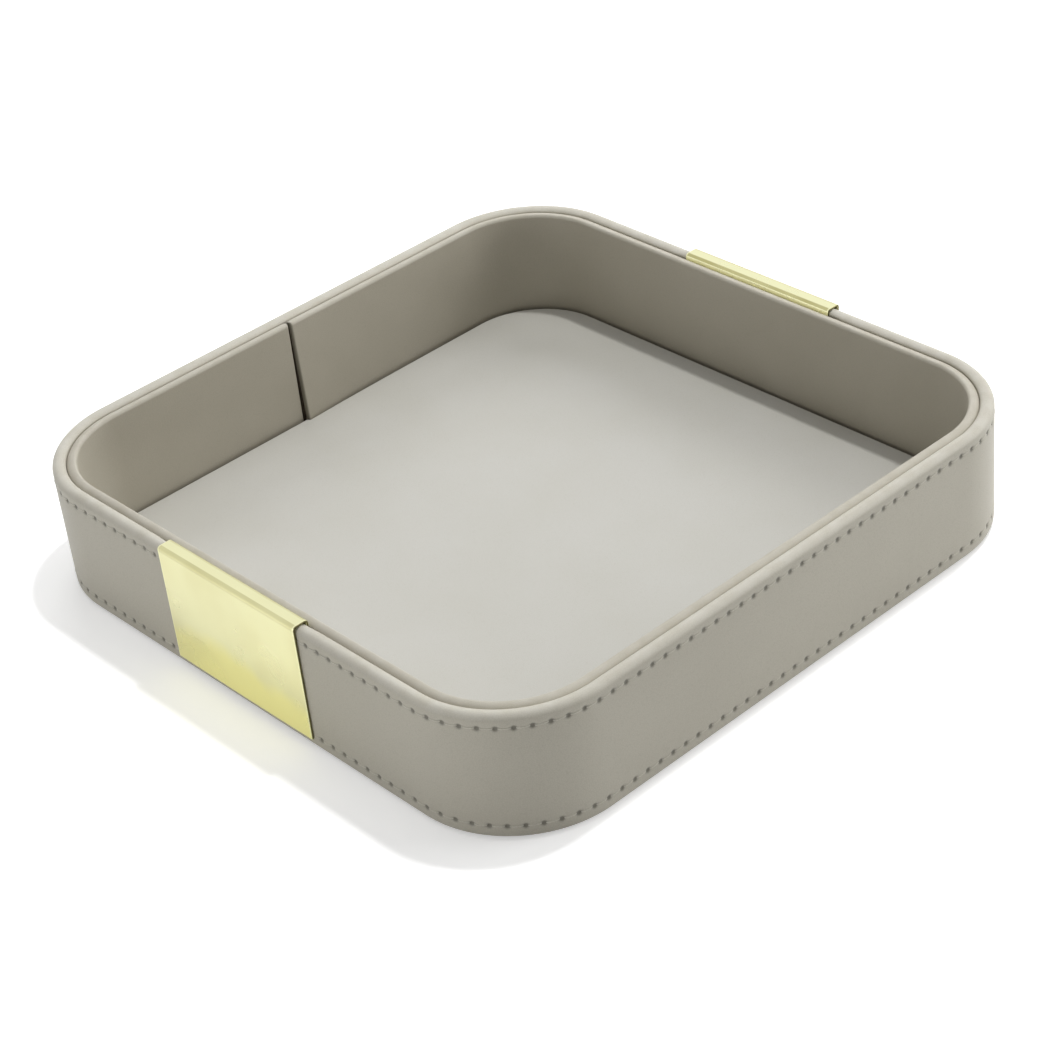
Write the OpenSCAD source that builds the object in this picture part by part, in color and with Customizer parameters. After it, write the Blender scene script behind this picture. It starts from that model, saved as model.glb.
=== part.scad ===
// Square tray with rounded corners. Two bands stand one inside the other, each a strip of board
// bent round and wrapped in hide, and they hold a flat floor panel. A folded brass clip sits over
// the outer band on two opposite sides, and two rows of stitching run round the outer band.
// The origin is on the underside at the middle of the tray. X and Y follow the sides, Z is up.

/* [Tray] */
// Outside length of the tray along X, over the hide
tray_w = 204; // [150:1:320]
// Outside length of the tray along Y, over the hide
tray_d = 206; // [150:1:320]
// Outside radius of the four corners
corner_r = 33; // [24:1:60]

/* [Outer band] */
// Height of the outer band, from its foot to the top of its rim
band_h = 38; // [26:1:80]
// Thickness of the bent board strip
outer_board_t = 2; // [1.5:0.1:4]
// Thickness of the hide on the outer band
outer_hide_t = 0.8; // [0.6:0.1:1.1]
// Radius of the lower outside edge, over the hide
foot_r = 1.4; // [1.2:0.1:2]
// Depth of the hide turned down inside the outer band
outer_turn_in = 12; // [6:1:18]
// Width of the hide turned in under the base
outer_lap = 8; // [4:1:14]
// Gap where the ends of the outer strip meet, under the right clip
joint_gap = 0.3; // [0.1:0.1:1]

/* [Inner band] */
// Width of the groove between the two bands
groove_w = 0.7; // [0.7:0.1:1.5]
// Thickness of the inner board strip
inner_board_t = 1.4; // [1:0.1:3]
// Thickness of the hide on the inner band
inner_hide_t = 0.7; // [0.5:0.1:1]
// Depth of the hide turned down on the back of the inner band
inner_turn_in = 9; // [4:1:14]
// How far the inner rim stands below the outer rim
rim_step = 0.4; // [0:0.1:3]
// Place of the seam along X, on the far wall
seam_x = -3.8; // [-50:0.1:50]
// Gap where the ends of the inner band meet
seam_gap = 0.8; // [0.3:0.1:2]

/* [Floor and base] */
// Thickness of the base board that both bands are glued to
base_t = 1.8; // [1.2:0.1:5]
// Room between the base board and the outer strip
base_fit = 0.1; // [0:0.05:0.4]
// Thickness of the board inside the floor panel
floor_board_t = 1; // [0.6:0.1:3]
// Thickness of the hide on the floor panel
floor_hide_t = 0.8; // [0.5:0.1:1.5]
// Gap between the floor panel and the inner band
floor_gap = 0.5; // [0.3:0.1:2]
// Thickness of the suede sheet under the tray
suede_t = 0.6; // [0.4:0.1:1.5]
// How far the edge of the suede sheet lies inside the outer face
suede_inset = 3; // [2:0.5:6]
// Room between the card under the base and the turned-in hide
card_fit = 0.3; // [0:0.1:1]

/* [Clips] */
// Width of each clip along the side
clip_w = 57; // [20:1:80]
// Thickness of the clip's sheet
clip_t = 0.6; // [0.4:0.1:0.6]
// Air between the clip and the hide, on top and outside
clip_air = 0.25; // [0.2:0.05:0.5]
// Outside radius of the clip's bends
clip_bend_r = 0.9; // [0.7:0.1:1.2]
// Depth of the clip's inner leg in the groove
clip_leg = 10; // [5:1:18]
// How far the clip's lower edge stands above the foot of the band
clip_rise = 2.8; // [0:0.1:8]
// Place of the left clip along Y
left_clip_y = 1.5; // [-15:0.5:15]
// Place of the right clip along Y
right_clip_y = 0; // [-15:0.5:15]

/* [Stitching] */
// Distance from each edge of the outer band to its row of stitches
stitch_edge = 3.8; // [3:0.1:8]
// Wanted distance from stitch to stitch
stitch_pitch = 4.55; // [4:0.05:9]
// Length of one stitch
stitch_len = 3.2; // [2:0.1:3.6]
// Thickness of the thread
thread_d = 0.5; // [0.4:0.05:0.5]
// Width of the channel that the thread lies in
channel_w = 0.8; // [0.6:0.1:1.5]
// Depth of the channel that the thread lies in
channel_depth = 0.35; // [0.35:0.05:0.5]

/* [Hidden] */
$fn = 96;

// Overrun of every cut past the face that it starts from
cut = 1;
// Room between the thread and the bottom of its channel
thread_fit = 0.05;

// Straight part of each side, and where the corners' centres are
side_x = tray_w - 2 * corner_r;
side_y = tray_d - 2 * corner_r;
corner_x = side_x / 2;
corner_y = side_y / 2;
sign_x = [1, -1, -1, 1];
sign_y = [1, 1, -1, -1];

// Heights of the layers, from the underside up
foot_z = suede_t;
base_z = foot_z + outer_hide_t;
inside_z = base_z + base_t;
floor_board_top = inside_z + floor_board_t;
rim_z = foot_z + band_h;
inner_rim_z = rim_z - rim_step;

// Sections of the bands, measured inwards from the outside face
outer_t = outer_board_t + 2 * outer_hide_t;
inner_t = inner_board_t + 2 * inner_hide_t;
inner_off = outer_t + groove_w;
floor_off = inner_off + inner_t + floor_gap;

// Stitches that fit round the band, and the pitch that closes the row
corner_run = PI * corner_r / 2;
stitch_run = 2 * side_x + 2 * side_y + 4 * corner_run;
stitch_count = round(stitch_run / stitch_pitch);
stitch_step = stitch_run / stitch_count;
stitch_rows = [foot_z + stitch_edge, rim_z - stitch_edge];

// Carries a wall section round the tray. X in the section is the distance from a corner's centre.
module around() {
    for (quarter = [0:3]) {
        run = quarter % 2 == 0 ? side_y : side_x;
        translate([sign_x[quarter] * corner_x, sign_y[quarter] * corner_y, 0])
            rotate(90 * quarter) {
                rotate_extrude(angle = 90) children();
                rotate([90, 0, 0]) linear_extrude(run) children();
            }
    }
}

// Flat sheet with rounded corners, its edge lying off inside the outer face
module sheet(off, low, thick) {
    around() translate([0, low]) square([corner_r - off, thick]);
    translate([-corner_x, -corner_y, low]) cube([side_x, side_y, thick]);
}

// Section of a band with a round rim, every face drawn in by inset
module band_section(off, thick, low, top, inset) {
    rim_r = thick / 2;
    face = corner_r - off;
    translate([face - rim_r, top - rim_r]) circle(rim_r - inset);
    translate([face - thick + inset, low + inset])
        square([thick - 2 * inset, top - rim_r - low - inset]);
}

// Section of the outer band, whose lower outside edge is round as well
module outer_section(inset) {
    difference() {
        band_section(0, outer_t, foot_z, rim_z, inset);
        translate([corner_r - foot_r, foot_z - cut]) square([foot_r + cut, foot_r + cut]);
    }
    translate([corner_r - foot_r, foot_z + foot_r]) circle(foot_r - inset);
}

// The cut where the ends of the outer strip meet
module outer_joint() {
    reach = outer_t + outer_lap;
    translate([tray_w / 2 - reach - cut, right_clip_y - joint_gap / 2, foot_z - cut])
        cube([reach + 2 * cut, joint_gap, band_h + 2 * cut]);
}

// The cut where the ends of the inner band meet
module inner_seam() {
    translate([seam_x - seam_gap / 2, tray_d / 2 - inner_off - inner_t - cut, inside_z - cut])
        cube([seam_gap, inner_t + 2 * cut, inner_rim_z - inside_z + 2 * cut]);
}

module outer_core() {
    color("#b49a78") difference() {
        around() outer_section(outer_hide_t);
        outer_joint();
    }
}

module outer_leather() {
    back = corner_r - outer_t;
    color("#a39d92") difference() {
        around() {
            difference() {
                outer_section(0);
                outer_section(outer_hide_t);
                translate([back - cut, foot_z - cut])
                    square([outer_hide_t + cut, band_h - outer_turn_in + cut]);
                for (row_z = stitch_rows)
                    translate([corner_r - channel_depth, row_z - channel_w / 2])
                        square([channel_depth + cut, channel_w]);
            }
            translate([back - outer_lap, foot_z])
                square([outer_lap + 2 * outer_hide_t, outer_hide_t]);
        }
        outer_joint();
    }
}

// Puts a piece on the outside face of the outer band, at a distance along it
module on_band(distance) {
    starts = [0, side_y + corner_run, side_y + side_x + 2 * corner_run,
              2 * side_y + side_x + 3 * corner_run, stitch_run];
    for (quarter = [0:3]) {
        run = quarter % 2 == 0 ? side_y : side_x;
        along = distance - starts[quarter];
        if (along >= 0 && distance < starts[quarter + 1])
            translate([sign_x[quarter] * corner_x, sign_y[quarter] * corner_y, 0])
                rotate(90 * quarter + 90 * max(along - run, 0) / corner_run)
                    translate([corner_r, min(along - run, 0), 0]) children();
    }
}

module stitch_row(row_z) {
    depth = channel_depth - thread_fit - thread_d / 2;
    for (stitch = [0:stitch_count - 1])
        on_band((stitch + 0.5) * stitch_step)
            translate([-depth, stitch_len / 2, row_z])
                rotate([90, 0, 0]) cylinder(h = stitch_len, d = thread_d);
}

module bottom_stitching() {
    color("#8f887b") stitch_row(stitch_rows[0]);
}

module top_stitching() {
    color("#8f887b") stitch_row(stitch_rows[1]);
}

// Section of a clip, drawn with X measured outwards from the outer band's face
module clip_section() {
    out = clip_air + clip_t;
    top = rim_z + out;
    inner = -outer_t - clip_t;
    difference() {
        union() {
            translate([inner, top - clip_leg])
                square([out - inner, clip_leg - clip_bend_r]);
            translate([inner + clip_bend_r, top - clip_bend_r])
                square([out - inner - 2 * clip_bend_r, clip_bend_r]);
            for (bend_x = [inner + clip_bend_r, out - clip_bend_r])
                translate([bend_x, top - clip_bend_r]) circle(clip_bend_r);
        }
        translate([-outer_t, top - clip_leg - cut])
            square([outer_t + clip_air, clip_leg + cut - clip_t]);
    }
    translate([clip_air, foot_z + clip_rise])
        square([clip_t, top - clip_leg - foot_z - clip_rise]);
}

module clip(side, along_y) {
    color("#d8cf86") translate([side * tray_w / 2, along_y + side * clip_w / 2, 0])
        rotate([90, 0, side > 0 ? 0 : 180]) linear_extrude(clip_w) clip_section();
}

module left_clip() {
    clip(-1, left_clip_y);
}

module right_clip() {
    clip(1, right_clip_y);
}

module inner_core() {
    color("#b49a78") difference() {
        around() band_section(inner_off, inner_t, inside_z, inner_rim_z, inner_hide_t);
        inner_seam();
    }
}

module inner_leather() {
    back = corner_r - inner_off;
    wall_h = inner_rim_z - inside_z;
    color("#8f897d") difference() {
        around() difference() {
            band_section(inner_off, inner_t, inside_z, inner_rim_z, 0);
            band_section(inner_off, inner_t, inside_z, inner_rim_z, inner_hide_t);
            translate([back - inner_hide_t, inside_z + inner_hide_t])
                square([inner_hide_t + cut, wall_h - inner_hide_t - inner_turn_in]);
        }
        inner_seam();
    }
}

module base_board() {
    color("#a88c68") sheet(outer_t - outer_hide_t + base_fit, base_z, base_t);
}

module bottom_card() {
    color("#c8c2b4") sheet(outer_t + outer_lap + card_fit, foot_z, outer_hide_t);
}

module bottom_suede() {
    color("#4d4a46") sheet(suede_inset, 0, suede_t);
}

module floor_board() {
    color("#c8c2b4") sheet(floor_off + floor_hide_t, inside_z, floor_board_t);
}

module floor_leather() {
    color("#c9c7be") difference() {
        sheet(floor_off, inside_z, floor_board_t + floor_hide_t);
        sheet(floor_off + floor_hide_t, inside_z - cut, floor_board_t + cut);
    }
}

outer_core();
outer_leather();
top_stitching();
bottom_stitching();
left_clip();
right_clip();
inner_core();
inner_leather();
base_board();
bottom_card();
bottom_suede();
floor_board();
floor_leather();
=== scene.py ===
import math
from functools import partial

import bmesh
import bpy
import numpy as np
from mathutils import Matrix, Vector


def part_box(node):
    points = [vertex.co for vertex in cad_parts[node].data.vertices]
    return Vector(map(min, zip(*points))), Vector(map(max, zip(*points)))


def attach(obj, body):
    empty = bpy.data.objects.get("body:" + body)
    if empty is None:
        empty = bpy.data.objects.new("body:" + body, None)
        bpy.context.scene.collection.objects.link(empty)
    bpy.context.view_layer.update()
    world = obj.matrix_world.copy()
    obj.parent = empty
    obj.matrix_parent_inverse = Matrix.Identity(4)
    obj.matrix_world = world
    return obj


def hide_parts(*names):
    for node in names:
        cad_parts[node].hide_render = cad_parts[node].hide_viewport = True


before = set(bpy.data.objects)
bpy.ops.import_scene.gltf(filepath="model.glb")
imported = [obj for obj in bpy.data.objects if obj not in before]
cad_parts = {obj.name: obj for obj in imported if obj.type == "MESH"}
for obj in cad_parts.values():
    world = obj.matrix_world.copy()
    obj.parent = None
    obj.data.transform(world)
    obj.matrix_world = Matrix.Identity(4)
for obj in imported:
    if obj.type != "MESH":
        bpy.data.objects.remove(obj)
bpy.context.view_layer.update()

# Leather tray: an outer and an inner band, a floor panel and two brass clips. Metres, +Z up,
# the clips on the -X and +X sides and the inner band's seam on the +Y side.

mm = 0.001

bandLow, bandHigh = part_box("outer_leather")
tray = {
    "lengthX": bandHigh.x - bandLow.x,
    "lengthY": bandHigh.y - bandLow.y,
    "cornerRadius": 33 * mm,
    "cornerSteps": 48,  # flats in one corner of the outline
}
sideX = tray["lengthX"] - 2 * tray["cornerRadius"]
sideY = tray["lengthY"] - 2 * tray["cornerRadius"]
cornerRun = math.pi * tray["cornerRadius"] / 2
outlineLength = 2 * sideX + 2 * sideY + 4 * cornerRun


# Node trees, for geometry and for materials

def setInputs(tree, node, inputs):
    for socket, value in inputs.items():
        if isinstance(value, bpy.types.NodeSocket):
            tree.links.new(value, node.inputs[socket])
        else:
            node.inputs[socket].default_value = value


def addNode(tree, kind, inputs=None, **settings):
    node = tree.nodes.new(kind)
    for setting, value in settings.items():
        setattr(node, setting, value)
    setInputs(tree, node, inputs or {})
    return node


def calc(tree, operation, *values):
    node = addNode(tree, "ShaderNodeMath", dict(enumerate(values)), operation=operation)
    return node.outputs[0]


def vectorCalc(tree, operation, inputs, output=0):
    return addNode(tree, "ShaderNodeVectorMath", inputs, operation=operation).outputs[output]


def axesOf(tree, vector):
    return addNode(tree, "ShaderNodeSeparateXYZ", {0: vector}).outputs


def mapped(tree, value, fromMin, fromMax, toMin, toMax, step="LINEAR"):
    inputs = {"Value": value, "From Min": fromMin, "From Max": fromMax, "To Min": toMin, "To Max": toMax}
    return addNode(tree, "ShaderNodeMapRange", inputs, interpolation_type=step).outputs["Result"]


def newTree(name, inputs, outputs):
    tree = bpy.data.node_groups.new(name, "GeometryNodeTree")
    for label, kind in inputs.items():
        tree.interface.new_socket(label, in_out="INPUT", socket_type="NodeSocket" + kind)
    for label, kind in outputs.items():
        tree.interface.new_socket(label, in_out="OUTPUT", socket_type="NodeSocket" + kind)
    return tree, tree.nodes.new("NodeGroupInput").outputs


def useTree(tree, group, inputs):
    return addNode(tree, "GeometryNodeGroup", inputs, node_tree=group).outputs


# Both piece trees end in real geometry with its material on
def endTree(tree, geometry, material):
    real = addNode(tree, "GeometryNodeRealizeInstances", {"Geometry": geometry}).outputs[0]
    dressed = addNode(tree, "GeometryNodeSetMaterial", {"Geometry": real, "Material": material})
    addNode(tree, "NodeGroupOutput", {"Geometry": dressed.outputs[0]})


def sampleAt(tree, geometry, value, index, kind):
    inputs = {"Geometry": geometry, "Value": value, "Index": index}
    return addNode(tree, "GeometryNodeSampleIndex", inputs, data_type=kind, domain="POINT").outputs[0]


def floats(*labels):
    return {label: "Float" for label in labels}


outlineInputs = {**floats("lengthX", "lengthY", "cornerRadius"), "cornerSteps": "Int"}


# Point and outward direction on the tray's outline, at a distance from the front end of the +X side
def buildOutlineTree():
    tree, given = newTree("trayOutline", {**outlineInputs, **floats("distance")},
                          {"point": "Vector", "outward": "Vector"})
    box = addNode(tree, "GeometryNodeCurvePrimitiveQuadrilateral",
                  {"Width": given["lengthX"], "Height": given["lengthY"]}, mode="RECTANGLE")
    corners = {"Curve": box.outputs[0], "Radius": given["cornerRadius"], "Count": given["cornerSteps"]}
    rounded = addNode(tree, "GeometryNodeFilletCurve", corners, mode="POLY").outputs[0]
    length = addNode(tree, "GeometryNodeCurveLength", {"Curve": rounded}).outputs[0]
    # the rounded curve starts where the +X side ends
    side = calc(tree, "MULTIPLY_ADD", given["cornerRadius"], -2.0, given["lengthY"])
    distance = calc(tree, "WRAP", calc(tree, "SUBTRACT", given["distance"], side), length, 0.0)
    there = addNode(tree, "GeometryNodeSampleCurve", {"Curves": rounded, "Length": distance}, mode="LENGTH")
    outward = vectorCalc(tree, "CROSS_PRODUCT", {0: there.outputs["Tangent"], 1: (0, 0, 1)})
    unit = vectorCalc(tree, "NORMALIZE", {0: outward})
    addNode(tree, "NodeGroupOutput", {"point": there.outputs["Position"], "outward": unit})
    return tree


needleInputs = floats("holePitch", "channelWidth", "channelDepth", "holeWidth", "holeDepth")
dipFalloff = -4.0


# From 1 in the middle of a dip to almost 0 one width away
def fading(tree, squaredShare):
    return calc(tree, "EXPONENT", calc(tree, "MULTIPLY", squaredShare, dipFalloff))


# How deep one row of stitches presses the hide in, and how near a needle hole is
def buildNeedleTree():
    tree, given = newTree("needleRow", {**needleInputs, **floats("distance", "height", "rowHeight")},
                          floats("depth", "hole"))
    do = partial(calc, tree)
    across = do("SUBTRACT", given["height"], given["rowHeight"])
    phase = do("DIVIDE", given["distance"], given["holePitch"])
    along = do("MULTIPLY", do("SUBTRACT", phase, do("ROUND", phase)), given["holePitch"])
    channel = fading(tree, do("POWER", do("ABSOLUTE", do("DIVIDE", across, given["channelWidth"])), 2.0))
    squares = do("ADD", do("MULTIPLY", across, across), do("MULTIPLY", along, along))
    hole = fading(tree, do("DIVIDE", squares, do("MULTIPLY", given["holeWidth"], given["holeWidth"])))
    depth = do("MULTIPLY_ADD", hole, given["holeDepth"], do("MULTIPLY", channel, given["channelDepth"]))
    addNode(tree, "NodeGroupOutput", {"depth": depth, "hole": hole})
    return tree


outlineTree = buildOutlineTree()
needleTree = buildNeedleTree()


# A place beside the outline, at a height, and the outline's outward direction there
def placeOnOutline(tree, given, distance, outwards, height):
    sizes = {label: given[label] for label in outlineInputs}
    outline = useTree(tree, outlineTree, {**sizes, "distance": distance})
    beside = vectorCalc(tree, "SCALE", {0: outline["outward"], "Scale": outwards})
    level = addNode(tree, "ShaderNodeCombineXYZ", {"Z": height}).outputs[0]
    place = vectorCalc(tree, "ADD", {0: outline["point"], 1: beside})
    return vectorCalc(tree, "ADD", {0: place, 1: level}), outline["outward"]


bandInputs = {**outlineInputs, **needleInputs, "section": "Object", "stations": "Object",
              **floats("start", "stripLength", "lowerRow", "upperRow", "middle", "thickness", "hide",
                       "endRound", "endShade", "proudEnd", "proudRun", "swell", "leftClip", "rightClip",
                       "clipReach", "clipFade", "roundLength"), "material": "Material"}
sweep = {
    "leastBulk": 0.25,  # share of its thickness that a rounded end keeps
    "liningRoom": 0.2,  # share of the hide's thickness that the lining stays off its skin
    "endShadeRun": (0.2 * mm, 0.8 * mm),  # where the painted shade on a cut end fades
    "mergeGap": 0.004 * mm,
}


def pointsOf(tree, helper):
    points = addNode(tree, "GeometryNodeObjectInfo", {"Object": helper}).outputs["Geometry"]
    return points, addNode(tree, "GeometryNodeAttributeDomainSize", {0: points}).outputs["Point Count"]


# Which line of vertices a point is on, from its place in a grid one unit wide
def gridLine(tree, place, gaps):
    return calc(tree, "ROUND", calc(tree, "MULTIPLY", calc(tree, "ADD", place, 0.5), gaps))


# A strip carried round the outline: each grid column is a station, each grid row a section point
def buildBandTree():
    tree, given = newTree("sweptBand", bandInputs, {"Geometry": "Geometry"})
    do = partial(calc, tree)
    section, sectionCount = pointsOf(tree, given["section"])
    stations, stationCount = pointsOf(tree, given["stations"])
    grid = addNode(tree, "GeometryNodeMeshGrid",
                   {"Size X": 1.0, "Size Y": 1.0, "Vertices X": stationCount,
                    "Vertices Y": do("ADD", sectionCount, 1.0)})
    position = addNode(tree, "GeometryNodeInputPosition").outputs[0]
    cell = axesOf(tree, position)
    column = gridLine(tree, cell["X"], do("SUBTRACT", stationCount, 1.0))
    row = do("MODULO", gridLine(tree, cell["Y"], sectionCount), sectionCount)
    run = axesOf(tree, sampleAt(tree, stations, position, column, "FLOAT_VECTOR"))["X"]
    profile = axesOf(tree, sampleAt(tree, section, position, row, "FLOAT_VECTOR"))
    marks = {}
    for mark in ("skin", "face", "swell", "lean"):
        named = addNode(tree, "GeometryNodeInputNamedAttribute", {"Name": mark}, data_type="FLOAT")
        marks[mark] = sampleAt(tree, section, named.outputs["Attribute"], row, "FLOAT")
    distance = do("ADD", given["start"], run)

    # the hide is pressed in along both rows of stitches
    depth, hole = 0.0, 0.0
    for rowHeight in ("lowerRow", "upperRow"):
        inputs = {label: given[label] for label in needleInputs}
        inputs.update({"distance": distance, "height": profile["Z"], "rowHeight": given[rowHeight]})
        pressed = useTree(tree, needleTree, inputs)
        depth = do("ADD", depth, pressed["depth"])
        hole = do("MAXIMUM", hole, pressed["hole"])
    depth = do("MULTIPLY", depth, marks["face"])
    hole = do("MULTIPLY", hole, marks["face"])

    # the strip's ends are rounded over, its lining stays inside its skin
    toEnd = do("SUBTRACT", given["stripLength"], run)
    nearest = do("MINIMUM", run, toEnd)
    fall = do("SUBTRACT", 1.0, do("MINIMUM", do("DIVIDE", nearest, given["endRound"]), 1.0))
    rounding = do("SQRT", do("SUBTRACT", 1.0, do("MULTIPLY", fall, fall)))
    bulk = do("MAXIMUM", rounding, sweep["leastBulk"])
    half = do("MULTIPLY", given["thickness"], 0.5)
    room = do("MULTIPLY", given["hide"], sweep["liningRoom"])
    inside = do("SUBTRACT", do("MULTIPLY", half, bulk), room)
    lining = do("MINIMUM", do("DIVIDE", inside, do("SUBTRACT", half, given["hide"])), 1.0)
    squeeze = do("ADD", do("MULTIPLY", bulk, marks["skin"]),
                 do("MULTIPLY", lining, do("SUBTRACT", 1.0, marks["skin"])))
    fromMiddle = do("SUBTRACT", profile["X"], given["middle"])
    across = do("MULTIPLY_ADD", fromMiddle, squeeze, given["middle"])

    # the last end leans in at its foot and eases back into the wall
    eased = do("EXPONENT", do("DIVIDE", toEnd, do("MULTIPLY", given["proudRun"], -1.0)))
    push = do("MULTIPLY", do("MULTIPLY", eased, given["proudEnd"]), marks["lean"])

    # the rim swells into the groove, but not where a clip's leg lies in it
    clear = 1.0
    halfWay = do("MULTIPLY", given["roundLength"], 0.5)
    clipEnd = do("ADD", given["clipReach"], given["clipFade"])
    for clip in ("leftClip", "rightClip"):
        apart = do("WRAP", do("SUBTRACT", distance, given[clip]), halfWay, do("MULTIPLY", halfWay, -1.0))
        share = mapped(tree, do("ABSOLUTE", apart), given["clipReach"], clipEnd, 0.0, 1.0)
        clear = do("MINIMUM", clear, share)
    swell = do("MULTIPLY", do("MULTIPLY", clear, given["swell"]), marks["swell"])
    outwards = do("ADD", across, do("SUBTRACT", swell, do("ADD", push, depth)))

    # painted shade in the needle holes and on the strip's cut ends
    ended = mapped(tree, nearest, *sweep["endShadeRun"], given["endShade"], 0.0)
    dark = do("MAXIMUM", hole, ended)

    place, _ = placeOnOutline(tree, given, distance, outwards, profile["Z"])
    marked = addNode(tree, "GeometryNodeStoreNamedAttribute",
                     {"Geometry": grid.outputs["Mesh"], "Name": "dark", "Value": dark},
                     data_type="FLOAT", domain="POINT")
    swept = addNode(tree, "GeometryNodeSetPosition", {"Geometry": marked.outputs[0], "Position": place})
    closed = addNode(tree, "GeometryNodeMergeByDistance",
                     {"Geometry": swept.outputs[0], "Distance": sweep["mergeGap"]})
    endTree(tree, closed.outputs[0], given["material"])
    return tree


rowInputs = {**outlineInputs,
             **floats("holePitch", "rowHeight", "seat", "slant", "slantSpread", "sizeSpread"),
             "stitch": "Object", "count": "Int", "seed": "Int", "material": "Material"}


# One row of stitches round the outline, each between two needle holes
def buildStitchTree():
    tree, given = newTree("stitchRow", rowInputs, {"Geometry": "Geometry"})
    do = partial(calc, tree)
    dots = addNode(tree, "GeometryNodeMeshLine", {"Count": given["count"]}, mode="OFFSET")
    index = addNode(tree, "GeometryNodeInputIndex").outputs[0]
    distance = do("MULTIPLY", do("ADD", index, 0.5), given["holePitch"])
    seated = do("MULTIPLY", given["seat"], -1.0)
    place, outward = placeOnOutline(tree, given, distance, seated, given["rowHeight"])
    placed = addNode(tree, "GeometryNodeSetPosition", {"Geometry": dots.outputs[0], "Position": place})
    facing = axesOf(tree, outward)
    spread = addNode(tree, "FunctionNodeRandomValue", {2: -1.0, 3: 1.0, "Seed": given["seed"]},
                     data_type="FLOAT").outputs[1]
    slant = do("MULTIPLY_ADD", spread, given["slantSpread"], given["slant"])
    turn = addNode(tree, "ShaderNodeCombineXYZ",
                   {"X": slant, "Z": do("ARCTAN2", facing["Y"], facing["X"])}).outputs[0]
    size = do("MULTIPLY_ADD", spread, given["sizeSpread"], 1.0)
    stitch = addNode(tree, "GeometryNodeObjectInfo", {"Object": given["stitch"]}).outputs["Geometry"]
    rotation = addNode(tree, "FunctionNodeEulerToRotation", {0: turn}).outputs[0]
    scale = addNode(tree, "ShaderNodeCombineXYZ", {"X": 1.0, "Y": size, "Z": 1.0}).outputs[0]
    copies = addNode(tree, "GeometryNodeInstanceOnPoints",
                     {"Points": placed.outputs[0], "Instance": stitch, "Rotation": rotation,
                      "Scale": scale})
    endTree(tree, copies.outputs[0], given["material"])
    return tree


# Meshes and pieces

def newObject(name, mesh):
    piece = bpy.data.objects.new(name, mesh)
    bpy.context.scene.collection.objects.link(piece)
    return piece


def helperPoints(name, points, **marks):
    mesh = bpy.data.meshes.new(name)
    mesh.from_pydata(points, [], [])
    for mark, values in marks.items():
        mesh.attributes.new(mark, "FLOAT", "POINT").data.foreach_set("value", values)
    return newObject(name, mesh)


def growPiece(name, tree, sizes, helpers):
    piece = newObject(name, bpy.data.meshes.new(name))
    grower = piece.modifiers.new(tree.name, "NODES")
    grower.node_group = tree
    for socket in tree.interface.items_tree:
        if socket.in_out == "INPUT" and socket.name in sizes:
            grower[socket.identifier] = sizes[socket.name]
    graph = bpy.context.evaluated_depsgraph_get()
    mesh = bpy.data.meshes.new_from_object(piece.evaluated_get(graph), depsgraph=graph)
    mesh.name = name
    piece.modifiers.remove(grower)
    piece.data = mesh
    for helper in helpers:
        bpy.data.meshes.remove(helper.data)
    return piece


def tidyMesh(piece, sharpAngle, fillEnds=False):
    shape = bmesh.new()
    shape.from_mesh(piece.data)
    if fillEnds:
        openEdges = [edge for edge in shape.edges if edge.is_boundary]
        bmesh.ops.holes_fill(shape, edges=openEdges, sides=0)
    bmesh.ops.recalc_face_normals(shape, faces=shape.faces)
    shape.to_mesh(piece.data)
    shape.free()
    piece.data.shade_smooth()
    piece.data.set_sharp_from_angle(angle=math.radians(sharpAngle))


def finishPiece(piece, slot, *nodes):
    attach(piece, "root")
    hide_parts(*nodes)
    triangles = sum(len(face.vertices) - 2 for face in piece.data.polygons)
    print("piece", piece.name, triangles, "triangles")


def arc(centre, radius, start, end, steps, tall=None):
    angles = np.radians(np.linspace(start, end, steps + 1))
    height = tall or radius
    return [(centre[0] + radius * math.cos(a), centre[1] + height * math.sin(a)) for a in angles]


def joinLoops(shape, loops):
    for first, second in zip(loops, loops[1:]):
        for i in range(len(first)):
            after = (i + 1) % len(first)
            shape.faces.new((first[i], first[after], second[after], second[i]))


def meshFrom(shape, name):
    mesh = bpy.data.meshes.new(name)
    shape.to_mesh(mesh)
    shape.free()
    return mesh


# Materials

def newMaterial(name):
    material = bpy.data.materials.new(name)
    material.use_nodes = True
    tree = material.node_tree
    shader = tree.nodes["Principled BSDF"]
    place = addNode(tree, "ShaderNodeTexCoord").outputs["Object"]
    return material, tree, shader, place


noiseSpan = (0.3, 0.7)  # where most of a noise lies


def noise(tree, place, size, detail=2.0, roughness=0.5):
    inputs = {"Vector": place, "Scale": 1 / size, "Detail": detail, "Roughness": roughness}
    return addNode(tree, "ShaderNodeTexNoise", inputs).outputs["Fac"]


def spreadNoise(tree, value, low=0.0, high=1.0, step="LINEAR"):
    return mapped(tree, value, *noiseSpan, low, high, step)


def weighed(tree, first, firstWeight, second, secondWeight):
    return calc(tree, "MULTIPLY_ADD", first, firstWeight, calc(tree, "MULTIPLY", second, secondWeight))


def markOf(tree, name):
    return addNode(tree, "ShaderNodeAttribute", attribute_name=name).outputs["Fac"]


def mixColours(tree, share, first, second):
    inputs = {"Factor": share}
    for socket, colour in ((6, first), (7, second)):
        inputs[socket] = colour if isinstance(colour, bpy.types.NodeSocket) else (*colour, 1)
    return addNode(tree, "ShaderNodeMix", inputs, data_type="RGBA").outputs[2]


def bump(tree, height, depth, under=None):
    inputs = {"Height": height, "Distance": depth, "Strength": 1.0}
    if under:
        inputs["Normal"] = under
    return addNode(tree, "ShaderNodeBump", inputs).outputs["Normal"]


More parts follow.
